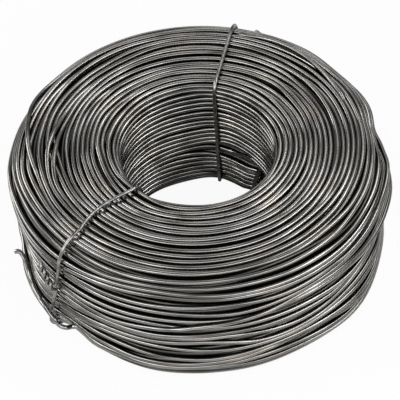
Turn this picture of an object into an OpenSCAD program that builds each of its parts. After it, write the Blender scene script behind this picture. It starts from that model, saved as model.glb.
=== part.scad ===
// Coil of annealed tie wire, lying flat, held by two twisted binder wires.
// Millimetres. The coil axis is Z, the floor is Z = 0, the front is -Y.

/* [Coil] */

// Outside diameter over the turns
coil_od = 127; // [110:1:150]
// Diameter of the bore left free inside the turns
bore_d = 51; // [44:1:58]
// Height of the coil from end to end
coil_h = 46; // [38:1:60]
// Rounding of the outer edge at the top
top_shoulder_r = 10; // [7:0.5:12]
// Rounding of the outer edge at the base
base_shoulder_r = 5; // [4:0.5:8]
// Rounding of the bore edge at the top
top_lip_r = 4.5; // [4:0.5:7]
// Rounding of the bore edge at the base
base_lip_r = 3; // [3:0.5:6]

/* [Wire] */

// Diameter of the tie wire, 16 gauge
wire_d = 1.6; // [1.2:0.1:2.2]
// Free width between neighbouring turns on the surface
turn_gap = 0.1; // [0.05:0.05:0.5]
// Depth of the valleys between the turns
turn_relief = 0.45; // [0.25:0.05:0.55]
// Depth to which the crests in the bore and on the ends are bedded flat
crest_flat = 0.08; // [0.05:0.01:0.12]

/* [Binders] */

// Diameter of the binder wire, 18 gauge
binder_d = 1.2; // [0.9:0.1:1.6]
// Angle of the front binder about the axis
front_angle = 224; // [214:1:234]
// Angle by which the front binder runs askew on the side
front_skew = 6.5; // [0:0.5:12]
// Height of the front knot above the floor
front_knot_z = 25.5; // [18:0.5:28]
// Lean of the front knot from upright
front_lean = 33; // [0:1:80]
// Angle of the back binder about the axis
back_angle = 76; // [60:1:90]
// Angle by which the back binder runs askew on the side
back_skew = 0; // [0:0.5:12]
// Height of the back knot above the floor
back_knot_z = 31; // [18:0.5:31]
// Lean of the back knot from upright
back_lean = 50; // [0:1:80]
// Length of a knot along its twist
knot_l = 11; // [7:0.5:16]
// Free play of a binder in its bed in the bore and under the base
bed_play = 0.1; // [0.05:0.05:0.3]
// Space between a binder and the turns it stands proud of
seat_gap = 0.25; // [0.2:0.05:0.6]

/* [Free end] */

// Height of the place where the free end leaves the side
end_z = 6; // [5:0.5:8]
// Angle about the axis at which the free end leaves the side
end_angle = 224.5; // [222:0.5:240]

/* [Hidden] */

$fn = 96;

outer_r = coil_od / 2;
bore_r = bore_d / 2;
bed_depth = binder_d / 2 + bed_play;
stand_off = binder_d / 2 + seat_gap;
strand_r = binder_d / 2 + 0.03;
knot_pitch = 4 * binder_d;
knot_bend_r = 1.3 * binder_d;
root_bend_r = binder_d;
tube_sides = 8;
wire_inset = wire_d / 2 - crest_flat;
steel_grey = [0.30, 0.30, 0.29];
binder_grey = [0.22, 0.22, 0.21];

// Corners of the section, counter-clockwise: radius, height, rounding, first outward angle
corners = [
  [outer_r - base_shoulder_r, base_shoulder_r, base_shoulder_r, -90],
  [outer_r - top_shoulder_r, coil_h - top_shoulder_r, top_shoulder_r, 0],
  [bore_r + top_lip_r, coil_h - top_lip_r, top_lip_r, 90],
  [bore_r + base_lip_r, base_lip_r, base_lip_r, 180]
];

function heading(a) = [cos(a), sin(a)];
function unit(v) = v / norm(v);
function polar(r, a, z) = [r * cos(a), r * sin(a), z];
function total(list, i = 0) = i == len(list) ? 0 : list[i] + total(list, i + 1);

// Walk round the wire centres
function arc_l(i) = (corners[i][2] - wire_inset) * PI / 2;
function rim(i, a) = [corners[i][0], corners[i][1]] + (corners[i][2] - wire_inset) * heading(a);
function run_from(i) = rim(i, corners[i][3] + 90);
function run_to(i) = let (j = (i + 1) % 4) rim(j, corners[j][3]);
function run_l(i) = norm(run_to(i) - run_from(i));
walk_l = total([for (i = [0:3]) arc_l(i) + run_l(i)]);
turn_count = floor(walk_l / (wire_d + turn_gap));

function on_arc(i, s) = let (a = corners[i][3] + 90 * s / arc_l(i)) [rim(i, a), a];
function on_run(i, s) = [run_from(i) + s / run_l(i) * (run_to(i) - run_from(i)), corners[i][3] + 90];
function walk(s, i = 0) =
  s <= arc_l(i) ? on_arc(i, s) :
  s <= arc_l(i) + run_l(i) || i == 3 ? on_run(i, s - arc_l(i)) :
  walk(s - arc_l(i) - run_l(i), i + 1);
turns = [for (k = [0:turn_count - 1]) walk((k + 0.5) * walk_l / turn_count)];

// Binder route in the section: each corner blends the offset of one side into the next
side_off = [-bed_depth, stand_off, stand_off, -bed_depth];
function blend(i, t, inward) =
  let (c = corners[i])
  [c[0], c[1]]
  + (c[2] + side_off[i] - inward) * cos(t) * heading(c[3])
  + (c[2] + side_off[(i + 1) % 4] - inward) * sin(t) * heading(c[3] + 90);
function bend(i, inward) = [for (t = [0:15:90]) blend(i, t, inward)];

// The base run of a skewed binder: the point at radius r on the chord from bore to outside
function chord_a(angle) = (bore_r + bed_depth) * heading(angle);
function chord_b(angle, skew) = (outer_r + stand_off) * heading(angle - skew);
function chord_t(r, angle, skew) =
  let (b = chord_a(angle), d = chord_b(angle, skew) - b, h = b * d, q = d * d)
  (-h + sqrt(h * h - q * (b * b - r * r))) / q;
function on_chord(p, angle, skew) =
  let (b = chord_a(angle), q = b + chord_t(p[0], angle, skew) * (chord_b(angle, skew) - b))
  [q[0], q[1], p[1]];

// The knot: two strands twisted round an axis that leaves the side and leans over
function side_angle(z, angle, skew) =
  let (top = coil_h - top_shoulder_r)
  angle - skew * min(1, max(0, (top - z) / (top - base_shoulder_r)));
function on_side(z, angle, skew) = polar(outer_r + stand_off, side_angle(z, angle, skew), z);
function strand_at(s, root, out, lean, way) =
  let (
    across = cross(out, lean),
    bent = min(90, s / knot_bend_r * 180 / PI),
    past = max(0, s - knot_bend_r * PI / 2),
    centre = root + knot_bend_r * (sin(bent) * out + (1 - cos(bent)) * lean) + past * lean,
    normal = cos(bent) * lean - sin(bent) * out,
    first = atan2(across[2], lean[2]) + (way > 0 ? 0 : 180),
    turn = first + 360 * max(0, s - root_bend_r) / knot_pitch
  )
  centre + strand_r * (cos(turn) * normal + sin(turn) * across);
function strand(root, out, lean, way) =
  [for (s = [root_bend_r:knot_pitch / 12:knot_l]) strand_at(s, root, out, lean, way)];
function root_turn(root, out, way) =
  let (up = [0, 0, way], hub = root + (strand_r + root_bend_r) * up + root_bend_r * out)
  [for (t = [0:22.5:67.5]) hub - root_bend_r * (cos(t) * out + sin(t) * up)];
function backwards(list) = [for (i = [len(list) - 1:-1:0]) list[i]];
function spread(p, angle) = polar(p[0], angle, p[1]);

function binder_route(angle, skew, knot_z, knot_lean) =
  let (
    knot_angle = side_angle(knot_z, angle, skew),
    root = polar(outer_r + stand_off, knot_angle, knot_z),
    out = polar(1, knot_angle, 0),
    lean = cos(knot_lean) * [0, 0, 1] - sin(knot_lean) * polar(1, knot_angle + 90, 0),
    reach = strand_r + root_bend_r,
    high = coil_h - top_shoulder_r,
    rise = [for (t = [0.35:0.35:0.7]) knot_z + reach + t * (high - knot_z - reach)],
    fall = [for (t = [0.25:0.25:0.75]) base_shoulder_r + t * (knot_z - reach - base_shoulder_r)]
  )
  concat(
    backwards(strand(root, out, lean, 1)),
    backwards(root_turn(root, out, 1)),
    [for (z = rise) on_side(z, angle, skew)],
    [for (p = bend(1, 0)) spread(p, angle)],
    [for (p = bend(2, 0)) spread(p, angle)],
    [for (p = bend(3, 0)) on_chord(p, angle, skew)],
    [for (p = bend(0, 0)) on_chord(p, angle, skew)],
    [for (z = fall) on_side(z, angle, skew)],
    root_turn(root, out, -1),
    strand(root, out, lean, -1)
  );

// Free end of the wire: angle from where it leaves the side, distance outside the turns, height
end_stops = [
  [2.5, -6, 0],
  [1, -3, 0],
  [-0.2, -0.6, 0],
  [-1.3, 1.2, 0.3],
  [-2.6, 2.2, 1.6],
  [-4.3, 2.7, 3.6],
  [-7.5, 2.6, 5.1],
  [-11.5, 2.1, 6.2],
  [-14.3, 1.7, 8.2],
  [-15.9, 1.5, 11.6],
  [-16.7, 1.6, 15.6],
  [-17.7, 2.0, 18.3],
  [-19.5, 2.7, 19.0],
  [-22.1, 3.4, 17.6]
];
function stop(i) =
  let (s = end_stops[min(len(end_stops) - 1, max(0, i))])
  polar(outer_r + s[1], end_angle + s[0], end_z + s[2]);
function eased(a, b, c, d, t) =
  0.5 * (2 * b + t * (c - a) + t * t * (2 * a - 5 * b + 4 * c - d) + t * t * t * (3 * b - a - 3 * c + d));
end_route = concat(
  [for (i = [0:len(end_stops) - 2]) for (t = [0:0.25:0.75]) eased(stop(i - 1), stop(i), stop(i + 1), stop(i + 2), t)],
  [stop(len(end_stops) - 1)]
);

// Round bar along a route, with its section carried along without twist
module bar(route, d) {
  last = len(route) - 1;
  along = [for (i = [0:last]) unit(route[min(i + 1, last)] - route[max(i - 1, 0)])];
  first = unit(cross(along[0], abs(along[0][2]) < 0.9 ? [0, 0, 1] : [1, 0, 0]));
  side = [
    for (i = 0, n = first; i <= last; i = i + 1, n = i <= last ? unit(n - (n * along[i]) * along[i]) : n) n
  ];
  rings = [
    for (i = [0:last])
      for (k = [0:tube_sides - 1])
        let (a = 360 * k / tube_sides)
        route[i] + d / 2 * (cos(a) * side[i] + sin(a) * cross(along[i], side[i]))
  ];
  skin = [
    for (i = [0:last - 1])
      for (k = [0:tube_sides - 1])
        let (m = (k + 1) % tube_sides, a = i * tube_sides, b = a + tube_sides)
        each [[a + k, b + k, b + m], [a + k, b + m, a + m]]
  ];
  start_cap = [for (k = [0:tube_sides - 1]) k];
  end_cap = [for (k = [tube_sides - 1:-1:0]) last * tube_sides + k];
  polyhedron(points = rings, faces = concat(skin, [start_cap], [end_cap]), convexity = 10);
}

// Half section of the wound turns: wires round the rim on a core that fills the valleys
module turn_section() {
  core_out = wire_d / 2 - turn_relief;
  intersection() {
    union() {
      polygon([for (t = turns) t[0] + core_out * heading(t[1])]);
      for (t = turns) translate(t[0]) circle(d = wire_d);
    }
    translate([bore_r, 0]) square([outer_r - bore_r, coil_h]);
  }
}

// Slab of a given thickness that stands on the radial line, from a drawing of radius and height
module upright(thick) {
  rotate([90, 0, 0]) translate([0, 0, -thick / 2]) linear_extrude(thick) children();
}

// Beds that take a binder flush into the bore wall and the base
module binder_beds(angle, skew) {
  wide = binder_d + 2 * bed_play;
  inward = binder_d / 2 + bed_play;
  spare = 4;
  chord = chord_b(angle, skew) - chord_a(angle);
  wall_line = concat(bend(2, inward), [blend(3, 0, inward)]);
  floor_line = [
    for (p = concat(bend(3, inward), bend(0, inward)))
      [chord_t(p[0], angle, skew) * norm(chord), p[1]]
  ];
  floor_end = floor_line[len(floor_line) - 1];

  if (skew == 0) {
    // one slab clears the whole loop
    rotate([0, 0, angle]) upright(wide) difference() {
      translate([bore_r - spare, -spare]) square([outer_r - bore_r + 2 * spare, coil_h + 2 * spare]);
      polygon([for (i = [0:3]) each bend(i, inward)]);
    }
  } else {
    // bed in the bore wall, above the lip at the base
    rotate([0, 0, angle]) upright(wide) difference() {
      translate([bore_r - spare, base_lip_r]) square([top_lip_r + 2 * spare, coil_h - base_lip_r + spare]);
      polygon(concat(wall_line, [[outer_r, 0], [outer_r, wall_line[0][1]]]));
    }
    // bed under the base and round its two edges
    translate([chord_a(angle)[0], chord_a(angle)[1], 0])
      rotate([0, 0, atan2(chord[1], chord[0])]) upright(wide) difference() {
        translate([-spare, -spare]) square([norm(chord) + 2 * spare, spare + base_shoulder_r + 0.5]);
        polygon(concat(floor_line, [[floor_end[0], coil_h], [-2 * spare, coil_h], [-2 * spare, base_lip_r]]));
      }
  }
}

module wire_coil() {
  color(steel_grey) {
    difference() {
      rotate_extrude() turn_section();
      binder_beds(front_angle, front_skew);
      binder_beds(back_angle, back_skew);
    }
    bar(end_route, wire_d);
  }
}

module binder_front() {
  color(binder_grey) bar(binder_route(front_angle, front_skew, front_knot_z, front_lean), binder_d);
}

module binder_back() {
  color(binder_grey) bar(binder_route(back_angle, back_skew, back_knot_z, back_lean), binder_d);
}

wire_coil();
binder_front();
binder_back();
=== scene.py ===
"""Coil of dark annealed tie wire: wound turns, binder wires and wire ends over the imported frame."""

import math

import bpy
import numpy as np
from mathutils import Matrix, Vector


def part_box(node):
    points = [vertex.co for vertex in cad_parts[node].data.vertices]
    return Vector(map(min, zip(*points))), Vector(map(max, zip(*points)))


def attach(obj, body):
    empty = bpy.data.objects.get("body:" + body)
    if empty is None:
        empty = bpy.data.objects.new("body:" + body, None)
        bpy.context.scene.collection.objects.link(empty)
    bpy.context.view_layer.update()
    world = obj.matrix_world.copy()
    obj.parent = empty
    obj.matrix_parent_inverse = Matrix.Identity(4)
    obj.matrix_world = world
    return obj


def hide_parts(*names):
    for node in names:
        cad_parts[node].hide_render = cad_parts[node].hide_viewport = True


bl_info = {
    "name": "Tie Wire Coil",
    "version": (1, 0, 0),
    "blender": (4, 5, 0),
    "location": "View3D > Sidebar > Tie Wire",
    "description": "Builds the wound turns, binders and ends of a coil of tie wire over its packed frame",
    "category": "Object",
}

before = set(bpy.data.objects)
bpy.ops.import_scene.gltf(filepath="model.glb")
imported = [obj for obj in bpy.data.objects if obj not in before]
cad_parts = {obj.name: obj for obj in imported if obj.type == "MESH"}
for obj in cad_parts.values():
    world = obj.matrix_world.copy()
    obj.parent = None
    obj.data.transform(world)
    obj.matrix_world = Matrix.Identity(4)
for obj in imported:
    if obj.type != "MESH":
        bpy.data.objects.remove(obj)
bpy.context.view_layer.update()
COIL_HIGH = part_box("wire_coil")[1]
IMAGE_SIDE = 400
MM = 0.001
QUARTER = math.pi / 2
SCALE_AND_SHADE = "scale_and_shade"

# Degrees about the axis at which one turn ends and the next begins
FIRST_AZIMUTH = 130

# Sides of a wire's round section: visible turns, turns below them, binders and free ends
TURN_SIDES = 10
DEEP_SIDES = 6
FREE_SIDES = 12

# Turns below the surface and the core: depth in wire diameters, points round the axis
DEEP_INSET = 1.45
DEEP_STATIONS = 96
CORE_INSET = 3.4
CORE_SEGMENTS = 96

# Shares of the drift, wander and lift of the turns on the base, the side, the top and in the bore
DRIFT_SHARES = (0.6, 1.0, 0.36, 0.22)
WANDER_SHARES = (0.6, 1.0, 0.5, 0.25)
LIFT_SHARES = (1.0, 1.0, 0.7, 0.35)

# Waves along the wire in its wander and lift: mm of the slow wave, mm and share of the quick wave on it
WANDER_WAVES = (60, 24, 0.6)
LIFT_WAVES = (70, 22, 0.5)

# Gaps between the turns: degrees about the axis, mm along the section, half length in degrees, mm wide.
# A width below zero draws the turns together.
OPENINGS = (
    (186, 57.3, 13, 2.4), (190, 49.5, 9, 1.6), (188, 70.6, 11, 1.4), (256, 25.5, 12, 2.6),
    (274, 17.3, 13, 2.0), (254, 39.0, 14, 1.4), (283, 34.0, 11, 1.6), (316, 47.6, 9, 0.9),
    (300, 21.0, 10, 1.6), (333, 33.0, 9, 1.8), (56, 107.0, 26, 7.5), (350, 43.0, 12, 1.6),
    (30, 60.0, 12, 1.4), (120, 55.0, 12, 1.6), (245, 11.3, 12, -2.2), (252, 8.3, 11, -1.8),
    (298, 43.0, 12, -1.0),
)

# Turns that change places: degrees from and to, mm along the section, turns in the lower group and in the
# upper group, and the group that rides over the other
CROSSINGS = (
    (140, 196, 44.0, 1, 3, "low"), (158, 202, 55.0, 2, 2, "high"), (236, 300, 26.0, 1, 2, "low"),
    (302, 372, 36.0, 1, 2, "low"), (326, 400, 26.0, 1, 1, "high"), (384, 428, 50.0, 1, 1, "high"),
    (368, 428, 15.0, 1, 2, "low"), (446, 489, 24.0, 1, 2, "low"), (446, 489, 38.0, 1, 2, "high"),
)

# Places out of round: degrees about the axis, mm up, half width in degrees and in mm, mm pushed in.
# A depth below zero is a bulge.
DENTS = (
    (193, 17, 11, 9, 4.0), (225, 2, 7, 7, 3.0), (239, 3, 8, 8, 0.7), (256, 3, 9, 8, -0.4),
    (321, 6, 14, 12, -1.3), (8, 40, 7, 9, 2.8), (349, 16, 10, 11, 0.9), (353, 30, 8, 6, -0.9),
    (184, 40, 9, 8, -0.6), (36, 42, 9, 10, 1.0), (147, 42, 12, 10, 0.3), (284, 3, 12, 8, -0.4),
    (359, 42, 5, 6, 1.2), (184, 4, 6, 6, 1.4),
)

# Soft lights in a ring about the coil: degrees about the axis, m up, m wide, m tall, watts
RING_LIGHTS = (
    (0, 0.68, 0.46, 0.16, 2.0),
    (45, 0.68, 0.36, 0.16, 1.0),
    (90, 0.68, 0.22, 0.32, 0.4),
    (158, 0.16, 0.36, 0.20, 1.05),
    (180, 0.68, 0.46, 0.16, 1.4),
    (225, 0.42, 0.46, 0.28, 1.55),
    (270, 0.42, 0.46, 0.28, 0.85),
    (315, 0.42, 0.46, 0.28, 1.6),
)


class CoilSizes(bpy.types.PropertyGroup):
    """Sizes of the wound turns"""

    wire_d: bpy.props.FloatProperty(
        name="Wire diameter", description="Diameter of the tie wire, 16 gauge",
        default=1.6 * MM, precision=5, unit="LENGTH")
    outer_r: bpy.props.FloatProperty(
        name="Outer radius", description="Radius over the outermost turns",
        default=COIL_HIGH.x, precision=5, unit="LENGTH")
    bore_r: bpy.props.FloatProperty(
        name="Bore radius", description="Radius left free inside the turns",
        default=25.5 * MM, precision=5, unit="LENGTH")
    height: bpy.props.FloatProperty(
        name="Height", description="Height of the coil from end to end",
        default=COIL_HIGH.z, precision=5, unit="LENGTH")
    top_shoulder: bpy.props.FloatProperty(
        name="Top shoulder", description="Rounding of the outer edge at the top",
        default=10 * MM, precision=5, unit="LENGTH")
    base_shoulder: bpy.props.FloatProperty(
        name="Base shoulder", description="Rounding of the outer edge at the base",
        default=5 * MM, precision=5, unit="LENGTH")
    top_lip: bpy.props.FloatProperty(
        name="Top lip", description="Rounding of the bore edge at the top",
        default=4.5 * MM, precision=5, unit="LENGTH")
    base_lip: bpy.props.FloatProperty(
        name="Base lip", description="Rounding of the bore edge at the base",
        default=1.8 * MM, precision=5, unit="LENGTH")
    face_pitch: bpy.props.FloatProperty(
        name="Face pitch", description="Spacing of the turns on the two ends",
        default=1.74 * MM, precision=5, unit="LENGTH")
    side_pitch: bpy.props.FloatProperty(
        name="Side pitch", description="Spacing of the turns on the outside",
        default=2.6 * MM, precision=5, unit="LENGTH")
    bore_pitch: bpy.props.FloatProperty(
        name="Bore pitch", description="Spacing of the turns in the bore",
        default=2.16 * MM, precision=5, unit="LENGTH")
    drift: bpy.props.FloatProperty(
        name="Drift", description="Sideways drift that neighbouring turns share",
        default=0.9 * MM, precision=5, unit="LENGTH")
    wander: bpy.props.FloatProperty(
        name="Wander", description="Sideways wander of each turn by itself",
        default=0.45 * MM, precision=5, unit="LENGTH")
    lift: bpy.props.FloatProperty(
        name="Lift", description="Rise and fall of each turn on the turns below",
        default=0.45 * MM, precision=5, unit="LENGTH")
    nest: bpy.props.FloatProperty(
        name="Nesting", description="Depth to which every fourth turn on top sinks between its neighbours",
        default=1.15 * MM, precision=5, unit="LENGTH")
    stations: bpy.props.IntProperty(
        name="Stations", description="Points along one turn", default=168, min=48)
    seed: bpy.props.IntProperty(
        name="Seed", description="Which winding of the many possible ones", default=16)


class BinderSizes(bpy.types.PropertyGroup):
    """Sizes of the two binder wires"""

    wire_d: bpy.props.FloatProperty(
        name="Binder diameter", description="Diameter of the binder wire, 18 gauge",
        default=1.2 * MM, precision=5, unit="LENGTH")
    front_angle: bpy.props.FloatProperty(
        name="Front angle", description="Place of the front binder about the axis",
        default=math.radians(224), subtype="ANGLE")
    front_skew: bpy.props.FloatProperty(
        name="Front skew", description="Angle by which the front binder runs askew on the side",
        default=math.radians(6.5), subtype="ANGLE")
    front_bow: bpy.props.FloatProperty(
        name="Front bow", description="Angle by which the front binder bows sideways on top",
        default=math.radians(2.9), subtype="ANGLE")
    front_knot_z: bpy.props.FloatProperty(
        name="Front knot height", description="Height of the front knot above the floor",
        default=25.5 * MM, precision=5, unit="LENGTH")
    front_lean: bpy.props.FloatProperty(
        name="Front lean", description="Lean of the front knot from upright",
        default=math.radians(33), subtype="ANGLE")
    back_angle: bpy.props.FloatProperty(
        name="Back angle", description="Place of the back binder about the axis",
        default=math.radians(76), subtype="ANGLE")
    back_bore_skew: bpy.props.FloatProperty(
        name="Back bore skew", description="Angle by which the back binder runs askew in the bore",
        default=math.radians(2.1), subtype="ANGLE")
    back_knot_z: bpy.props.FloatProperty(
        name="Back knot height", description="Height of the back knot above the floor",
        default=31 * MM, precision=5, unit="LENGTH")
    back_lean: bpy.props.FloatProperty(
        name="Back lean", description="Lean of the back knot from upright",
        default=math.radians(50), subtype="ANGLE")
    knot_l: bpy.props.FloatProperty(
        name="Knot length", description="Length of a knot along its twist",
        default=11 * MM, precision=5, unit="LENGTH")
    bed_play: bpy.props.FloatProperty(
        name="Bed play", description="Play of a binder below the bore wall and above the floor",
        default=0.1 * MM, precision=5, unit="LENGTH")
    seat_gap: bpy.props.FloatProperty(
        name="Seat gap", description="Space between a binder and the turns it stands proud of",
        default=0.25 * MM, precision=5, unit="LENGTH")


class SteelFinish(bpy.types.PropertyGroup):
    """Colours of the annealed steel"""

    light: bpy.props.FloatVectorProperty(
        name="Light steel", description="Steel where the scale is thin",
        default=(0.48, 0.47, 0.451), subtype="COLOR", size=3, min=0, max=1)
    dark: bpy.props.FloatVectorProperty(
        name="Dark steel", description="Steel under its dark scale",
        default=(0.135, 0.132, 0.124), subtype="COLOR", size=3, min=0, max=1)
    brown: bpy.props.FloatVectorProperty(
        name="Brown tint", description="Faint brown tint from the furnace",
        default=(0.26, 0.208, 0.152), subtype="COLOR", size=3, min=0, max=1)
    blue: bpy.props.FloatVectorProperty(
        name="Blue tint", description="Faint blue tint from the furnace",
        default=(0.18, 0.192, 0.212), subtype="COLOR", size=3, min=0, max=1)
    # Painted shade: this near-black colour goes on the flanks of the turns, between their neighbours,
    # partly as black scale.
    scale: bpy.props.FloatVectorProperty(
        name="Scale", description="Black scale and painted shade on the flanks of the turns",
        default=(0.045, 0.043, 0.04), subtype="COLOR", size=3, min=0, max=1)
    # Painted shade: the turns below the surface, the core and the inner end are darkened with this colour.
    deep_shade: bpy.props.FloatVectorProperty(
        name="Deep turns", description="Painted shade on the turns below the surface",
        default=(0.02, 0.019, 0.018), subtype="COLOR", size=3, min=0, max=1)
    cut: bpy.props.FloatVectorProperty(
        name="Cut steel", description="Bare steel on a cut end",
        default=(0.20, 0.197, 0.188), subtype="COLOR", size=3, min=0, max=1)


class StudioSettings(bpy.types.PropertyGroup):
    """Camera, floor and lights"""

    elevation: bpy.props.FloatProperty(
        name="Elevation", description="Height of the camera above the horizon",
        default=math.radians(46.57), subtype="ANGLE")
    distance: bpy.props.FloatProperty(
        name="Distance", description="Distance of the camera from the middle of the coil",
        default=785.7 * MM, unit="LENGTH")
    roll: bpy.props.FloatProperty(
        name="Roll", description="Turn of the camera about its line of sight",
        default=math.radians(-2.33), subtype="ANGLE")
    lens: bpy.props.FloatProperty(
        name="Lens", description="Focal length on a 36 mm sensor", default=208.5, unit="CAMERA")
    shift_px: bpy.props.FloatVectorProperty(
        name="Framing", description="Shift of the picture in pixels, right and up",
        default=(0.65, -9.6), size=2)
    floor: bpy.props.FloatVectorProperty(
        name="Floor", description="Colour of the floor",
        default=(0.85, 0.85, 0.85), subtype="COLOR", size=3, min=0, max=1)
    ring_r: bpy.props.FloatProperty(
        name="Ring radius", description="Radius of the ring of lights", default=0.58, unit="LENGTH")
    world: bpy.props.FloatProperty(
        name="Room light", description="Strength of the light from the room", default=0.06)
    floor_white: bpy.props.FloatProperty(
        name="Floor white", description="Share of the floor that the camera sees as plain white",
        default=0.94, subtype="FACTOR", min=0, max=1)
    floor_mirrored: bpy.props.FloatProperty(
        name="Floor mirrored", description="Share of the floor's white that metal mirrors",
        default=0.1, subtype="FACTOR", min=0, max=1)
    room_mirrored: bpy.props.FloatProperty(
        name="Room mirrored", description="Share of the room's white that metal mirrors",
        default=0.25, subtype="FACTOR", min=0, max=1)


class TieWireSettings(bpy.types.PropertyGroup):
    """All settings of the coil"""

    coil: bpy.props.PointerProperty(type=CoilSizes)
    binder: bpy.props.PointerProperty(type=BinderSizes)
    finish: bpy.props.PointerProperty(type=SteelFinish)
    studio: bpy.props.PointerProperty(type=StudioSettings)


# Section of the coil

def heading(angle):
    """Direction of an angle, as radius and height."""
    return np.array([np.cos(angle), np.sin(angle)])


def corner_list(coil):
    """Corners of the section from base shoulder to base lip: radius, height, rounding, first angle."""
    return [
        (coil.outer_r - coil.base_shoulder, coil.base_shoulder, coil.base_shoulder, -QUARTER),
        (coil.outer_r - coil.top_shoulder, coil.height - coil.top_shoulder, coil.top_shoulder, 0.0),
        (coil.bore_r + coil.top_lip, coil.height - coil.top_lip, coil.top_lip, QUARTER),
        (coil.bore_r + coil.base_lip, coil.base_lip, coil.base_lip, 2 * QUARTER),
    ]


def section_walk(coil, inset):
    """Line round the section below its surface: length so far, radius, height and outward angle."""
    corner_points = 25
    points = []
    angles = []
    for radius, height, rounding, first in corner_list(coil):
        for turned in np.linspace(0, QUARTER, corner_points):
            points.append(np.array([radius, height]) + (rounding - inset) * heading(first + turned))
            angles.append(first + turned)
    points.append(points[0])
    angles.append(3 * QUARTER)
    points = np.array(points)
    steps = np.linalg.norm(np.diff(points, axis=0), axis=1)
    return np.concatenate([[0], np.cumsum(steps)]), points[:, 0], points[:, 1], np.array(angles)


# Winding

def smooth_step(a, b, c, d, t):
    """Point between b and c on a smooth curve that also passes a before them and d after them."""
    bend = 2 * a - 5 * b + 4 * c - d
    twist = 3 * b - a - 3 * c + d
    return 0.5 * (2 * b + t * (c - a) + t * t * bend + t ** 3 * twist)


def along_noise(rng, length, spacing):
    """Smooth noise along the wire, with one free value for each stretch of the given length."""
    place = length / spacing
    knots = rng.standard_normal(int(place.max()) + 5)
    cell = np.floor(place).astype(int)
    return smooth_step(*(knots[cell + k] for k in range(4)), place - cell)


def two_waves(rng, length, slow, quick, share):
    """Slow noise along the wire, with a share of quick noise on it."""
    return along_noise(rng, length, slow * MM) + share * along_noise(rng, length, quick * MM)


def shared_drift(rng, phi, s, waves):
    """Slow drift over the surface that neighbouring turns share, so that they bunch and part."""
    drift = np.zeros(phi.shape)
    for _ in range(waves):
        count = rng.integers(1, 7)
        length = rng.uniform(7, 30) * MM
        way = rng.choice((-1, 1))
        drift += np.cos(count * phi + way * 2 * math.pi * s / length + rng.uniform(0, 2 * math.pi))
    return drift / math.sqrt(waves)


def turned_away(phi, angle):
    """Angle from a place about the axis, the short way round."""
    return (phi - angle + math.pi) % (2 * math.pi) - math.pi


def by_region(angle, base, side, top, bore):
    """Value for a place of the section, blended between its four sides."""
    return np.interp(angle, np.radians([-90, 0, 90, 180, 270]), [base, side, top, bore, base])


def keep_apart(s, depth, wire_d, rounds):
    """Pushes neighbouring turns apart until they no longer lie in each other."""
    for _ in range(rounds):
        rise = np.clip(np.abs(np.diff(depth, axis=0)), 0, wire_d)
        need = np.sqrt(wire_d ** 2 - rise ** 2)
        push = np.clip(need - np.diff(s, axis=0), 0, None) / 2
        s[1:] += push
        s[:-1] -= push
    return s


def binder_azimuth(coil, binder, radius, height, front):
    """Angle about the axis at which a binder passes a point of the section."""
    if not front:
        return np.full(np.shape(radius), binder.back_angle)
    top = coil.height - coil.top_shoulder
    fallen = np.clip((top - height) / (top - coil.base_shoulder), 0, 1)
    outward = np.clip((radius - coil.bore_r) / (coil.outer_r - coil.bore_r), 0, 1)
    return binder.front_angle - binder.front_skew * fallen * outward


def pressed_in(coil, binder, phi, radius, height, angle):
    """Depth to which the binders, the inner end and knocks press the turns down."""
    bed = 1.12 * binder.wire_d
    bed_reach = 8.0 * MM
    bed_angles = np.radians([-90, -30, 0, 120, 180, 270])
    depth = np.interp(angle, bed_angles, [bed, 0.1 * MM, 0, 0, bed, bed])
    pressed = np.zeros(radius.shape)
    for front in (True, False):
        away = radius * turned_away(phi, binder_azimuth(coil, binder, radius, height, front))
        pressed = np.maximum(pressed, depth * np.exp(-(away / bed_reach) ** 2))
    pressed = np.maximum(pressed, inner_recess(phi, radius, height, angle))
    for azimuth, up, wide, high, inward in DENTS:
        near = np.exp(-(turned_away(phi, math.radians(azimuth)) / math.radians(wide)) ** 2)
        level = np.exp(-((height - up * MM) / (high * MM)) ** 2)
        pressed = pressed + inward * MM * near * level * np.clip(np.cos(angle), 0, 1)
    return pressed


def inner_recess(phi, radius, height, angle):
    """Depth of the recess in the bore that the inner end of the wire comes down in."""
    depth = 1.3 * MM
    half_width = 4.0 * MM
    top = 16 * MM
    fade = 3 * MM
    foot = math.radians(44.4)
    slant_per_m = math.radians(500)
    bore_from, bore_fade = np.radians([150, 20])
    in_bore = np.clip((angle - bore_from) / bore_fade, 0, 1)
    below = np.clip((top - height) / fade, 0, 1)
    away = radius * turned_away(phi, foot - slant_per_m * height) / half_width
    return depth * in_bore * below * np.exp(-away ** 2)


def nested(coil, turns, phi, angle):
    """Every fourth turn on top sinks between its neighbours, front and back: shift along and depth."""
    first_sine = 0.35
    sine_rise = 0.45
    top_middle, top_half, top_fade = np.radians([92, 50, 20])
    # The count moves on at 180 degrees, where no turn is sunk, and not where a turn begins
    not_yet = np.degrees(phi) < 180
    order = (np.arange(turns)[:, None] - not_yet) % 4
    crosswise = np.clip((np.abs(np.sin(phi)) - first_sine) / sine_rise, 0, 1)
    on_top = np.clip((top_half - np.abs(angle - top_middle)) / top_fade, 0, 1)
    share = crosswise ** 2 * (3 - 2 * crosswise) * on_top
    shift = np.choose(order, [0.0, -1 / 3, 0.0, 1 / 3]) * coil.face_pitch
    return share * shift, share * np.where(order == 0, coil.nest, 0.0)


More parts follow.
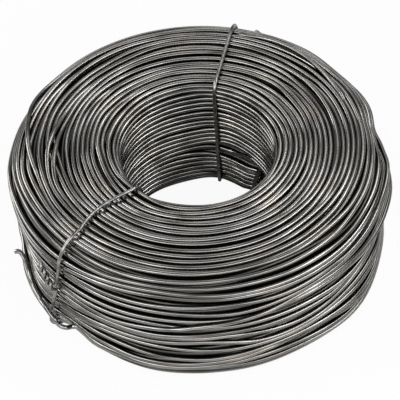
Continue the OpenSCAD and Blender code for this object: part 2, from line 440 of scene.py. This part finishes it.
def layout(coil, rng, inset, stations, openings):
    """Places of all turns side by side: angle about the axis, place along the section and depth."""
    samples = 4000
    waves = 10
    edge = 0.7 * MM
    reach = 5 * MM
    apart = 1.03 * coil.wire_d
    rounds = 80
    length, radius, _, angle = section_walk(coil, inset)
    even = np.linspace(0, length[-1], samples)
    pitch = by_region(
        np.interp(even, length, angle), coil.face_pitch, coil.side_pitch, coil.face_pitch, coil.bore_pitch)
    wound = np.concatenate([[0], np.cumsum(np.diff(even) / pitch[1:])])
    turns = int(wound[-1])
    wound *= turns / wound[-1]
    share = np.arange(stations) / stations
    turn = np.arange(turns)[:, None] + share[None]
    phi = np.broadcast_to(math.radians(FIRST_AZIMUTH) + 2 * math.pi * share, turn.shape)
    s = np.interp(turn, wound, even)
    at_angle = np.interp(s, length, angle)
    step = 2 * math.pi * np.interp(s, length, radius) / stations
    run = np.cumsum(step.ravel()).reshape(step.shape)
    drift = coil.drift * by_region(at_angle, *DRIFT_SHARES)
    wander = coil.wander * by_region(at_angle, *WANDER_SHARES)
    lift = coil.lift * by_region(at_angle, *LIFT_SHARES)
    shift, sunk = nested(coil, turns, phi, at_angle)
    s = s + shift + drift * shared_drift(rng, phi, s, waves)
    s = s + wander * two_waves(rng, run, *WANDER_WAVES)
    for azimuth, place, span, width in openings:
        near = np.exp(-(turned_away(phi, math.radians(azimuth)) / math.radians(span)) ** 2)
        off = s - place * MM
        s = s + 0.5 * width * MM * near * np.tanh(off / edge) * np.exp(-np.abs(off) / reach)
    depth = np.clip(lift * two_waves(rng, run, *LIFT_WAVES), 0, None) + sunk
    s = keep_apart(s, depth, apart, rounds)
    return phi, np.clip(s, 0, length[-1]), depth


def cross_over(slots, phi, s, crossings):
    """Lets groups of turns change places. Fills in the slots and returns which turns ride over which."""
    held = np.arange(len(slots))
    riders = []
    turned = np.degrees(phi[0])
    for start, end, place, lower, upper, rider in sorted(crossings):
        t = np.clip((turned - start) / (end - start), 0, 1)
        u = t * t * (3 - 2 * t)
        begin = int(np.argmin(np.abs(turned - start)))
        first = int(np.argmin(np.abs(s[:, begin] - place * MM)))
        low_wires = held[first:first + lower].copy()
        high_wires = held[first + lower:first + lower + upper].copy()
        slots[low_wires] += upper * u
        slots[high_wires] -= lower * u
        held[first:first + upper] = high_wires
        held[first + upper:first + lower + upper] = low_wires
        stations = (t > 0) & (t < 1)
        over, under = (low_wires, high_wires) if rider == "low" else (high_wires, low_wires)
        riders.append((over, under, stations))
    return held, riders


def wind(coil, binder, rng, inset, stations, openings, crossings):
    """Wire wound round the whole surface, by turn: points, outward directions, mean angle, next turn."""
    over_from = 0.1 * MM
    over_depth = 0.2 * MM
    reach = 5
    length, radius, height, angle = section_walk(coil, inset)
    phi, s, depth = layout(coil, rng, inset, stations, openings)
    turns = len(s)
    slots = np.repeat(np.arange(turns, dtype=float)[:, None], stations, axis=1)
    held, riders = cross_over(slots, phi, s, crossings)
    low = np.clip(np.floor(slots).astype(int), 0, turns - 2)
    part = slots - low
    column = np.arange(stations)[None]
    s = s[low, column] * (1 - part) + s[low + 1, column] * part
    depth = depth[low, column] * (1 - part) + depth[low + 1, column] * part
    lift = np.zeros(s.shape)
    for over, under, where in riders:
        for wire in over:
            off = np.abs(s[wire][None] - s[under])
            need = np.sqrt(np.clip(coil.wire_d ** 2 - off ** 2, 0, None)).max(axis=0)
            lift[wire] = np.maximum(lift[wire], np.where(where, need, 0))
    window = np.hanning(2 * reach + 1)
    kernel = window / window.sum()
    lift = np.array([np.convolve(np.pad(row, reach, "edge"), kernel, "valid") for row in lift])
    at_angle = np.interp(s, length, angle)
    at_radius = np.interp(s, length, radius)
    at_height = np.interp(s, length, height)
    depth = np.where(lift > over_from, np.minimum(depth, over_depth), depth) - lift
    depth = depth + pressed_in(coil, binder, phi, at_radius, at_height, at_angle)
    at_radius = at_radius - depth * np.cos(at_angle)
    at_height = np.maximum(at_height - depth * np.sin(at_angle), coil.wire_d / 2)
    points = np.stack([at_radius * np.cos(phi), at_radius * np.sin(phi), at_height], axis=-1)
    out = np.stack(
        [np.cos(at_angle) * np.cos(phi), np.cos(at_angle) * np.sin(phi), np.sin(at_angle)], axis=-1)
    follows = np.empty(turns, int)
    follows[held] = np.arange(turns) + 1
    return points, out, np.degrees(at_angle.mean(axis=1)), follows


# Routes of the binders and of the free ends

def polar(radius, angle, height):
    """Point at a radius and an angle about the axis."""
    return np.array([radius * math.cos(angle), radius * math.sin(angle), height])


def eased(points, per_span):
    """Smooth curve through the given points."""
    points = np.asarray(points, float)
    padded = np.vstack([2 * points[0] - points[1], points, 2 * points[-1] - points[-2]])
    curve = []
    for i in range(len(points) - 1):
        a, b, c, d = padded[i:i + 4]
        for t in np.arange(per_span) / per_span:
            curve.append(smooth_step(a, b, c, d, t))
    curve.append(points[-1])
    return np.array(curve)


def loop_bend(coil, binder, i):
    """Corner of a binder's loop in the section, blended from one side's offset to the next."""
    corner_points = 10
    bed = binder.wire_d / 2 + binder.bed_play
    stand = binder.wire_d / 2 + binder.seat_gap
    off = (-bed, stand, stand, -bed)
    radius, height, rounding, first = corner_list(coil)[i]
    bend = []
    for t in np.linspace(0, QUARTER, corner_points):
        bend.append(
            np.array([radius, height])
            + (rounding + off[i]) * math.cos(t) * heading(first)
            + (rounding + off[(i + 1) % 4]) * math.sin(t) * heading(first + QUARTER))
    return bend


def binder_route(coil, binder, angle, skew, bow, bore_skew, knot_z, knot_lean):
    """Centre line of a binder: one end of the knot, round the section, and the other end of the knot."""
    stand = binder.wire_d / 2 + binder.seat_gap
    bed = binder.wire_d / 2 + binder.bed_play
    side_r = coil.outer_r + stand
    top = coil.height - coil.top_shoulder
    low = coil.base_shoulder
    strand_gap = 0.06 * MM
    strand_r = (binder.wire_d + strand_gap) / 2
    pitch = 4 * binder.wire_d
    bend_r = 1.3 * binder.wire_d
    root_r = binder.wire_d

    def side_angle(z):
        return angle - skew * min(1, max(0, (top - z) / (top - low)))

    def on_side(z):
        return polar(side_r, side_angle(z), z)

    def on_chord(point):
        start = polar(coil.bore_r + bed, angle - bore_skew, 0)[:2]
        step = polar(side_r, angle - skew, 0)[:2] - start
        half = start @ step
        square = step @ step
        t = (-half + math.sqrt(half ** 2 - square * (start @ start - point[0] ** 2))) / square
        place = start + t * step
        return np.array([place[0], place[1], point[1]])

    knot_angle = side_angle(knot_z)
    root = on_side(knot_z)
    out = polar(1, knot_angle, 0)
    up = np.array([0, 0, 1.0])
    lean = math.cos(knot_lean) * up - math.sin(knot_lean) * polar(1, knot_angle + QUARTER, 0)
    across = np.cross(out, lean)

    def strand(way):
        first = math.atan2(across[2], lean[2]) + (0 if way > 0 else math.pi)
        line = []
        for along in np.arange(root_r, binder.knot_l, pitch / 20):
            bent = min(QUARTER, along / bend_r)
            past = max(0, along - bend_r * QUARTER)
            centre = root + bend_r * (math.sin(bent) * out + (1 - math.cos(bent)) * lean) + past * lean
            normal = math.cos(bent) * lean - math.sin(bent) * out
            turn = first + 2 * math.pi * (along - root_r) / pitch
            line.append(centre + strand_r * (math.cos(turn) * normal + math.sin(turn) * across))
        return line

    def root_turn(way):
        hub = root + (strand_r + root_r) * way * up + root_r * out
        bend = QUARTER * np.arange(4) / 4
        return [hub - root_r * (math.cos(t) * out + math.sin(t) * way * up) for t in bend]

    reach = strand_r + root_r
    rise = [knot_z + reach + t * (top - knot_z - reach) for t in (0.35, 0.7)]
    fall = [low + t * (knot_z - reach - low) for t in (0.25, 0.5, 0.75)]
    line = strand(1)[::-1] + root_turn(1)[::-1] + [on_side(z) for z in rise]
    shoulder = coil.outer_r - coil.top_shoulder
    lip = coil.bore_r + coil.top_lip
    line += [polar(p[0], angle, p[1]) for p in loop_bend(coil, binder, 1)]
    for t in np.linspace(0, 1, 12)[1:-1]:
        bowed = angle - bow * math.sin(math.pi * t)
        line.append(polar(shoulder + t * (lip - shoulder), bowed, coil.height + stand))
    line += [polar(p[0], angle, p[1]) for p in loop_bend(coil, binder, 2)]
    line += [on_chord(p) for i in (3, 0) for p in loop_bend(coil, binder, i)]
    line += [on_side(z) for z in fall] + root_turn(-1) + strand(-1)
    return np.array(line)


def outer_end_route(coil):
    """Free outer end: loops out of the side near the floor, over the front binder, and ends in a hook."""
    leaves_at = 224.5
    leaves_z = 6
    # Degrees on from where it leaves the side, mm out from the side, mm up from where it leaves
    stops = [
        (3.5, -6, 0.5), (2, -3, 0.4), (0.1, -1.5, -0.2), (-0.1, 0.9, 1.3), (-1.8, 1.9, 1.9),
        (-3.4, 2.5, 4.2), (-7.0, 2.2, 5.6), (-10.4, 1.6, 5.3), (-13.3, 1.0, 5.6), (-16.6, 0.5, 5.7),
        (-20.0, -0.2, 6.6), (-24.8, -1.1, 5.8), (-28.7, -1.2, 5.0), (-31.1, -0.6, 5.1),
        (-32.3, 0.2, 4.9), (-32.7, 1.0, 4.4),
    ]
    return eased([
        polar(coil.outer_r + out * MM, math.radians(leaves_at + turn), (leaves_z + z) * MM)
        for turn, out, z in stops
    ], 6)


def inner_end_route(coil):
    """Inner end: comes out between the turns of the bore and bends down to the floor end."""
    # Degrees about the axis, mm out from the bore, mm up
    stops = [
        (33, 3.4, 17.2), (34.5, 1.9, 17.0), (36, 0.7, 16.2), (37.2, 0.4, 14.2), (39, 0.4, 11.4),
        (40.9, 0.4, 8.6), (42.4, 0.5, 5.4), (43.6, 0.7, 1.5),
    ]
    return eased([polar(coil.bore_r + out * MM, math.radians(turn), z * MM) for turn, out, z in stops], 8)


# Meshes

def carried_frame(points):
    """Directions along a route and a side direction that is carried along it without twist."""
    along = np.gradient(points, axis=0)
    along /= np.linalg.norm(along, axis=1, keepdims=True)
    hint = np.array([0, 0, 1.0]) if abs(along[0][2]) < 0.9 else np.array([1.0, 0, 0])
    side = np.cross(along[0], hint)
    sides = []
    for direction in along:
        side = side - (side @ direction) * direction
        side = side / np.linalg.norm(side)
        sides.append(side)
    return along, np.array(sides)


def bar_rings(points, along, out, diameter, sides):
    """Vertices and faces of a round bar along a route."""
    out = out - (out * along).sum(1, keepdims=True) * along
    out /= np.linalg.norm(out, axis=1, keepdims=True)
    across = np.cross(along, out)
    turned = 2 * math.pi * np.arange(sides) / sides
    ring = np.cos(turned)[None, :, None] * out[:, None] + np.sin(turned)[None, :, None] * across[:, None]
    vertices = (points[:, None] + diameter / 2 * ring).reshape(-1, 3)
    first = np.arange(len(points) - 1)[:, None] * sides
    corner = np.arange(sides)[None]
    here = (first + corner).ravel()
    after = (first + (corner + 1) % sides).ravel()
    return vertices, np.stack([here, after, after + sides, here + sides], axis=1)


def wire_mesh(name, bars, sides, capped):
    """Mesh of round bars, with a flat cut at each end where they are capped."""
    vertices = []
    faces = []
    caps = []
    offset = 0
    for v, quads in bars:
        vertices.append(v)
        faces.append(quads + offset)
        if capped:
            caps.append([offset + i for i in range(sides - 1, -1, -1)])
            caps.append([offset + len(v) - sides + i for i in range(sides)])
        offset += len(v)
    vertices = np.concatenate(vertices)
    faces = np.concatenate(faces)
    mesh = bpy.data.meshes.new(name)
    mesh.vertices.add(len(vertices))
    mesh.vertices.foreach_set("co", vertices.astype(np.float32).ravel())
    corners = np.concatenate([faces.ravel(), np.array(caps, int).ravel()])
    mesh.loops.add(len(corners))
    mesh.loops.foreach_set("vertex_index", corners.astype(np.int32))
    counts = np.concatenate([np.full(len(faces), 4), np.full(len(caps), sides)])
    mesh.polygons.add(len(counts))
    mesh.polygons.foreach_set("loop_start", (np.cumsum(counts) - counts).astype(np.int32))
    mesh.polygons.foreach_set("loop_total", counts.astype(np.int32))
    is_cap = np.arange(len(counts)) >= len(faces)
    mesh.polygons.foreach_set("use_smooth", ~is_cap)
    mesh.polygons.foreach_set("material_index", is_cap.astype(np.int32))
    # How far each ring point faces from the crest; the material paints the flanks with black scale and
    # painted shade. Capped bars face out all round and stay clear.
    scale_and_shade = mesh.attributes.new(SCALE_AND_SHADE, "FLOAT", "POINT")
    crest = np.ones(sides) if capped else np.cos(2 * math.pi * np.arange(sides) / sides)
    scale_and_shade.data.foreach_set("value", np.resize(crest, len(vertices)).astype(np.float32))
    mesh.update(calc_edges=True)
    mesh.validate()
    return mesh


def route_mesh(name, route, diameter, sides):
    """Mesh of one bar along a free route, cut off at its two ends."""
    along, out = carried_frame(route)
    return wire_mesh(name, [bar_rings(route, along, out, diameter, sides)], sides, True)


def turn_bars(points, out, follows, wanted, diameter, sides):
    """Bars of the wanted turns, each one led on into the turn that follows it."""
    turns = len(points)
    leads = np.full(turns + 1, -1)
    leads[follows] = np.arange(turns)
    bars = []
    for k in wanted:
        line = points[k]
        face = out[k]
        after = follows[k]
        if after < turns:
            line = np.vstack([line, points[after, :2]])
            face = np.vstack([face, out[after, :1]])
        else:
            line = np.vstack([line, 2 * line[-1] - line[-2]])
        before = points[leads[k], -1] if leads[k] >= 0 else 2 * line[0] - line[1]
        line = np.vstack([before, line])
        along = line[2:] - line[:-2]
        along /= np.linalg.norm(along, axis=1, keepdims=True)
        bars.append(bar_rings(line[1:-1], along, face, diameter, sides))
    return bars


def place(name, mesh, materials, slot, *nodes):
    """Makes a mesh an object that rides on the coil and stands for the given nodes."""
    piece = bpy.data.objects.new(name, mesh)
    bpy.context.scene.collection.objects.link(piece)
    for material in materials:
        mesh.materials.append(material)
    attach(piece, "root")
    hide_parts(*nodes)


def turned_mesh(name, coil, inset, segments):
    """Mesh of the section turned about the axis, below the visible turns."""
    _, radius, height, _ = section_walk(coil, inset)
    profile = np.stack([radius[:-1], height[:-1]], axis=1)
    count = len(profile)
    phi = 2 * math.pi * np.arange(segments) / segments
    vertices = np.stack([
        np.cos(phi)[:, None] * profile[None, :, 0],
        np.sin(phi)[:, None] * profile[None, :, 0],
        np.broadcast_to(profile[None, :, 1], (segments, count)),
    ], axis=-1).reshape(-1, 3)
    faces = []
    for k in range(segments):
        for i in range(count):
            j = (i + 1) % count
            m = (k + 1) % segments
            faces.append((k * count + i, m * count + i, m * count + j, k * count + j))
    mesh = bpy.data.meshes.new(name)
    mesh.from_pydata(vertices.tolist(), [], faces)
    for polygon in mesh.polygons:
        polygon.use_smooth = True
    return mesh


# Materials

def math_node(tree, operation, first, second=None):
    """Math node with its inputs linked or set."""
    node = tree.nodes.new("ShaderNodeMath")
    node.operation = operation
    for socket, value in zip(node.inputs, (first, second)):
        if value is None:
            continue
        if isinstance(value, (int, float)):
            socket.default_value = value
        else:
            tree.links.new(value, socket)
    return node.outputs[0]


def ramp(tree, value, low, high):
    """Value spread from 0 at low to 1 at high."""
    node = tree.nodes.new("ShaderNodeMapRange")
    node.inputs["From Min"].default_value = low
    node.inputs["From Max"].default_value = high
    tree.links.new(value, node.inputs["Value"])
    return node.outputs[0]


def wire_marks_group():
    """Group that puts out streaks drawn out along the turns, soft patches, fine grain and crests free of
    painted shade.
    """
    if "Wire marks" in bpy.data.node_groups:
        return bpy.data.node_groups["Wire marks"]
    group = bpy.data.node_groups.new("Wire marks", "ShaderNodeTree")
    sockets = group.interface
    for name, fineness in (("Streak", 520.0), ("Patch", 90.0), ("Grain", 2600.0)):
        socket = sockets.new_socket(name + " fineness", in_out="INPUT", socket_type="NodeSocketFloat")
        socket.default_value = fineness
    for name in ("Streaks", "Patches", "Grain", "Crests"):
        sockets.new_socket(name, in_out="OUTPUT", socket_type="NodeSocketFloat")
    streak_stretch = 0.006
    links = group.links
    given = group.nodes.new("NodeGroupInput")
    result = group.nodes.new("NodeGroupOutput")
    place_node = group.nodes.new("ShaderNodeTexCoord")
    split = group.nodes.new("ShaderNodeSeparateXYZ")
    links.new(place_node.outputs["Object"], split.inputs[0])
    x, y, z = split.outputs
    radius = math_node(group, "SQRT", math_node(
        group, "ADD", math_node(group, "MULTIPLY", x, x), math_node(group, "MULTIPLY", y, y)))
    drawn_out = group.nodes.new("ShaderNodeCombineXYZ")
    for socket, value in zip(drawn_out.inputs, (x, y)):
        around = math_node(group, "DIVIDE", value, radius)
        links.new(math_node(group, "MULTIPLY", around, streak_stretch), socket)
    links.new(radius, drawn_out.inputs[2])

    def noise(vector, fineness, detail, roughness, output):
        node = group.nodes.new("ShaderNodeTexNoise")
        node.inputs["Detail"].default_value = detail
        node.inputs["Roughness"].default_value = roughness
        links.new(vector, node.inputs["Vector"])
        links.new(given.outputs[fineness], node.inputs["Scale"])
        links.new(node.outputs[0], result.inputs[output])
        return node

    streaks = noise(drawn_out.outputs[0], "Streak fineness", 1.5, 0.5, "Streaks")
    streaks.noise_dimensions = "4D"
    links.new(z, streaks.inputs["W"])
    noise(place_node.outputs["Object"], "Patch fineness", 3.0, 0.55, "Patches")
    noise(place_node.outputs["Object"], "Grain fineness", 2.0, 0.5, "Grain")
    # Crests keep the steel; flanks turned towards the neighbouring turns take black scale and painted
    # shade.
    scale_and_shade = group.nodes.new("ShaderNodeAttribute")
    scale_and_shade.attribute_name = SCALE_AND_SHADE
    links.new(ramp(group, scale_and_shade.outputs["Fac"], 0.0, 0.6), result.inputs["Crests"])
    return group


def blend_colour(tree, share, first, second):
    """Mix of two colours, each given or linked."""
    node = tree.nodes.new("ShaderNodeMix")
    node.data_type = "RGBA"
    tree.links.new(share, node.inputs[0])
    for socket, value in ((node.inputs[6], first), (node.inputs[7], second)):
        if hasattr(value, "links"):
            tree.links.new(value, socket)
        else:
            socket.default_value = (*value, 1)
    return node.outputs[2]


def annealed_steel(name, light, dark, brown, blue, scale, rough, bump):
    """Dark annealed steel: streaks along the wire, faint furnace tints, a fine grain and flanks in black
    scale and painted shade.
    """
    tint_share = 0.45
    rough_spread = 0.12
    bump_height = 0.05 * MM
    material = bpy.data.materials.new(name)
    material.use_nodes = True
    tree = material.node_tree
    shader = tree.nodes["Principled BSDF"]
    shader.inputs["Metallic"].default_value = 1.0
    group = tree.nodes.new("ShaderNodeGroup")
    group.node_tree = wire_marks_group()
    marks = group.outputs
    steel = blend_colour(tree, ramp(tree, marks["Streaks"], 0.35, 0.69), dark, light)
    tint = blend_colour(tree, ramp(tree, marks["Patches"], 0.40, 0.60), blue, brown)
    tinted = math_node(tree, "MULTIPLY", ramp(tree, marks["Streaks"], 0.35, 0.75), tint_share)
    crest = blend_colour(tree, tinted, steel, tint)
    # Painted shade: the flanks between the turns take the near-black scale colour, partly real black scale.
    tree.links.new(blend_colour(tree, marks["Crests"], scale, crest), shader.inputs["Base Color"])
    dull = math_node(tree, "MULTIPLY", ramp(tree, marks["Patches"], 0.3, 0.7), rough_spread)
    grain = math_node(tree, "MULTIPLY", marks["Grain"], rough_spread)
    least = math_node(tree, "ADD", grain, rough - rough_spread)
    tree.links.new(math_node(tree, "ADD", dull, least), shader.inputs["Roughness"])
    raised = tree.nodes.new("ShaderNodeBump")
    raised.inputs["Strength"].default_value = bump
    raised.inputs["Distance"].default_value = bump_height
    tree.links.new(math_node(tree, "ADD", marks["Grain"], marks["Streaks"]), raised.inputs["Height"])
    tree.links.new(raised.outputs[0], shader.inputs["Normal"])
    return material


def seen_rays(tree, mirrored):
    """Rays that see the white stage: the camera's, those through glass, and a share of those from metal."""
    rays = tree.nodes.new("ShaderNodeLightPath").outputs
    seen = math_node(tree, "MAXIMUM", rays["Is Camera Ray"], rays["Is Transmission Ray"])
    glossy = math_node(tree, "MULTIPLY", rays["Is Glossy Ray"], mirrored)
    return math_node(tree, "MAXIMUM", seen, glossy)


def shaded(colour, share):
    """Colour at a share of its strength."""
    return [c * share for c in colour]


def finishes(settings):
    """Materials of the coil, made once."""
    steel = settings.finish
    # Painted shade: the turns below the surface are a darker copy of the steel, with the near-black colour
    # for their tints and flanks.
    deep_share = 0.45
    binder_share = 1.05
    deep_light = shaded(steel.light, deep_share)
    deep_dark = shaded(steel.dark, deep_share)
    binder_light = shaded(steel.light, binder_share)
    binder_dark = shaded(steel.dark, binder_share)
    # Light and dark steel, the two tints, the flanks, the roughness and the bump
    made = {
        "turns": (steel.light, steel.dark, steel.brown, steel.blue, steel.scale, 0.18, 0.06),
        "deep turns": (deep_light, deep_dark, steel.deep_shade, steel.deep_shade, steel.deep_shade, 0.4, 0.4),
        # Painted shade: the core is a near-black sheet under the turns.
        "core": (steel.deep_shade, deep_dark, steel.deep_shade, steel.deep_shade, steel.deep_shade, 0.6, 0.4),
        "binder": (binder_light, binder_dark, steel.dark, steel.blue, steel.scale, 0.30, 0.1),
        "cut end": (steel.cut, steel.dark, steel.light, steel.light, steel.scale, 0.35, 0.3),
    }
    return {
        name: bpy.data.materials.get("annealed " + name) or annealed_steel("annealed " + name, *look)
        for name, look in made.items()
    }


# Operators

class TIEWIRE_OT_turns(bpy.types.Operator):
    """Wind the visible turns, the turns below them and the core"""

    bl_idname = "tie_wire.turns"
    bl_label = "Wound Turns"

    def execute(self, context):
        settings = context.scene.tie_wire
        coil = settings.coil
        looks = finishes(settings)
        rng = np.random.default_rng(coil.seed)
        points, out, angle, follows = wind(
            coil, settings.binder, rng, coil.wire_d / 2, coil.stations, OPENINGS, CROSSINGS)
        regions = {
            "turns_side": (-90, 45), "turns_top": (45, 135),
            "turns_bore": (135, 225), "turns_base": (225, 270),
        }
        for name, (first, last) in regions.items():
            wanted = np.where((angle >= first) & (angle < last))[0]
            bars = turn_bars(points, out, follows, wanted, coil.wire_d, TURN_SIDES)
            mesh = wire_mesh(name, bars, TURN_SIDES, False)
            place(name, mesh, [looks["turns"]], "tie_wire", "wire_coil")
        # The turns below are darkened with painted shade where they show between the visible turns.
        points, out, angle, follows = wind(
            coil, settings.binder, rng, DEEP_INSET * coil.wire_d, DEEP_STATIONS, [], [])
        bars = turn_bars(points, out, follows, range(len(points)), coil.wire_d, DEEP_SIDES)
        mesh = wire_mesh("turns_below", bars, DEEP_SIDES, False)
        place("turns_below", mesh, [looks["deep turns"]], "tie_wire", "wire_coil")
        # The core is a near-black sheet of painted shade below the turns.
        core = turned_mesh("wound_core", coil, CORE_INSET * coil.wire_d, CORE_SEGMENTS)
        place("wound_core", core, [looks["core"]], "tie_wire", "wire_coil")
        return {"FINISHED"}


class TIEWIRE_OT_binders(bpy.types.Operator):
    """Loop and twist the two binder wires"""

    bl_idname = "tie_wire.binders"
    bl_label = "Binder Wires"

    def execute(self, context):
        settings = context.scene.tie_wire
        binder = settings.binder
        looks = finishes(settings)
        loops = {
            "binder_front": (
                binder.front_angle, binder.front_skew, binder.front_bow, 0.0,
                binder.front_knot_z, binder.front_lean),
            "binder_back": (
                binder.back_angle, 0.0, 0.0, binder.back_bore_skew, binder.back_knot_z, binder.back_lean),
        }
        for node, how in loops.items():
            route = binder_route(settings.coil, binder, *how)
            mesh = route_mesh(node + "_wire", route, binder.wire_d, FREE_SIDES)
            place(node + "_wire", mesh, [looks["binder"], looks["cut end"]], "binder_wire", node)
        return {"FINISHED"}


class TIEWIRE_OT_ends(bpy.types.Operator):
    """Lead out the two free ends of the tie wire"""

    bl_idname = "tie_wire.ends"
    bl_label = "Free Ends"

    def execute(self, context):
        settings = context.scene.tie_wire
        coil = settings.coil
        looks = finishes(settings)
        ends = (
            ("outer_end", outer_end_route(coil), "turns"),
            # The inner end takes the painted shade of the turns below.
            ("inner_end", inner_end_route(coil), "deep turns"),
        )
        for name, route, look in ends:
            mesh = route_mesh(name, route, coil.wire_d, FREE_SIDES)
            place(name, mesh, [looks[look], looks["cut end"]], "tie_wire", "wire_coil")
        return {"FINISHED"}


class TIEWIRE_OT_studio(bpy.types.Operator):
    """Set up the floor, the lights and the camera"""

    bl_idname = "tie_wire.studio"
    bl_label = "Studio"

    def execute(self, context):
        scene = context.scene
        studio = scene.tie_wire.studio
        middle = Vector((0, 0, COIL_HIGH.z / 2))
        self.make_floor(scene, studio)
        self.make_world(scene, studio)
        self.make_lights(scene, studio, middle)
        self.make_camera(scene, studio, middle)
        scene.view_settings.view_transform = "Standard"
        return {"FINISHED"}

    def make_floor(self, scene, studio):
        """Floor that the camera sees as white, with a faint shadow."""
        half = 3.0
        mesh = bpy.data.meshes.new("floor")
        corners = [(-half, -half, 0), (half, -half, 0), (half, half, 0), (-half, half, 0)]
        mesh.from_pydata(corners, [], [(0, 1, 2, 3)])
        floor = bpy.data.objects.new("floor", mesh)
        scene.collection.objects.link(floor)
        material = bpy.data.materials.new("pale floor")
        material.use_nodes = True
        tree = material.node_tree
        shader = tree.nodes["Principled BSDF"]
        shader.inputs["Base Color"].default_value = (*studio.floor, 1)
        shader.inputs["Roughness"].default_value = 0.9
        white = tree.nodes.new("ShaderNodeEmission")
        mix = tree.nodes.new("ShaderNodeMixShader")
        seen = seen_rays(tree, studio.floor_mirrored)
        tree.links.new(math_node(tree, "MULTIPLY", seen, studio.floor_white), mix.inputs[0])
        tree.links.new(shader.outputs[0], mix.inputs[1])
        tree.links.new(white.outputs[0], mix.inputs[2])
        tree.links.new(mix.outputs[0], tree.nodes["Material Output"].inputs[0])
        mesh.materials.append(material)

    def make_world(self, scene, studio):
        """Room that the camera sees as white and that lights the coil only a little."""
        world = bpy.data.worlds.new("studio room")
        world.use_nodes = True
        tree = world.node_tree
        seen = seen_rays(tree, studio.room_mirrored)
        white = math_node(tree, "MULTIPLY", seen, 1.0 - studio.world)
        strength = math_node(tree, "ADD", white, studio.world)
        shade = tree.nodes["Background"]
        shade.inputs["Color"].default_value = (1, 1, 1, 1)
        tree.links.new(strength, shade.inputs["Strength"])
        scene.world = world

    def make_lights(self, scene, studio, middle):
        """Soft lights round the coil, each turned to its middle."""
        for azimuth, height, wide, tall, power in RING_LIGHTS:
            light = bpy.data.lights.new("ring_light", "AREA")
            light.energy = power
            light.shape = "RECTANGLE"
            light.size = wide
            light.size_y = tall
            lamp = bpy.data.objects.new("ring_light", light)
            lamp.location = polar(studio.ring_r, math.radians(azimuth), height)
            lamp.rotation_euler = (middle - lamp.location).to_track_quat("-Z", "Y").to_euler()
            scene.collection.objects.link(lamp)

    def make_camera(self, scene, studio, middle):
        """Camera above the front, turned to the middle of the coil."""
        data = bpy.data.cameras.new("camera")
        data.sensor_width = 36
        data.lens = studio.lens
        data.shift_x = studio.shift_px[0] / IMAGE_SIDE
        data.shift_y = studio.shift_px[1] / IMAGE_SIDE
        camera = bpy.data.objects.new("camera", data)
        scene.collection.objects.link(camera)
        back = Vector((0, -math.cos(studio.elevation), math.sin(studio.elevation)))
        turn = (-back).to_track_quat("-Z", "Y").to_matrix().to_4x4() @ Matrix.Rotation(studio.roll, 4, "Z")
        camera.matrix_world = Matrix.Translation(middle + studio.distance * back) @ turn
        scene.camera = camera


class TIEWIRE_PT_panel(bpy.types.Panel):
    """Lists the pieces of the coil"""

    bl_idname = "TIEWIRE_PT_panel"
    bl_label = "Tie Wire Coil"
    bl_space_type = "VIEW_3D"
    bl_region_type = "UI"
    bl_category = "Tie Wire"

    def draw(self, context):
        for operator in OPERATORS:
            self.layout.operator(operator.bl_idname)
        for group in ("coil", "binder", "finish", "studio"):
            box = self.layout.box()
            settings = getattr(context.scene.tie_wire, group)
            for name in settings.__annotations__:
                box.prop(settings, name)


OPERATORS = (TIEWIRE_OT_turns, TIEWIRE_OT_binders, TIEWIRE_OT_ends, TIEWIRE_OT_studio)
SETTINGS = (CoilSizes, BinderSizes, SteelFinish, StudioSettings, TieWireSettings)
CLASSES = (*SETTINGS, *OPERATORS, TIEWIRE_PT_panel)


def register():
    """Adds the classes and the settings."""
    for cls in CLASSES:
        bpy.utils.register_class(cls)
    bpy.types.Scene.tie_wire = bpy.props.PointerProperty(type=TieWireSettings)


def unregister():
    """Takes the settings and the classes out again."""
    del bpy.types.Scene.tie_wire
    for cls in reversed(CLASSES):
        bpy.utils.unregister_class(cls)


def main():
    """Builds all pieces in order."""
    register()
    bpy.ops.tie_wire.turns()
    bpy.ops.tie_wire.binders()
    bpy.ops.tie_wire.ends()
    bpy.ops.tie_wire.studio()


if __name__ == "__main__":
    main()
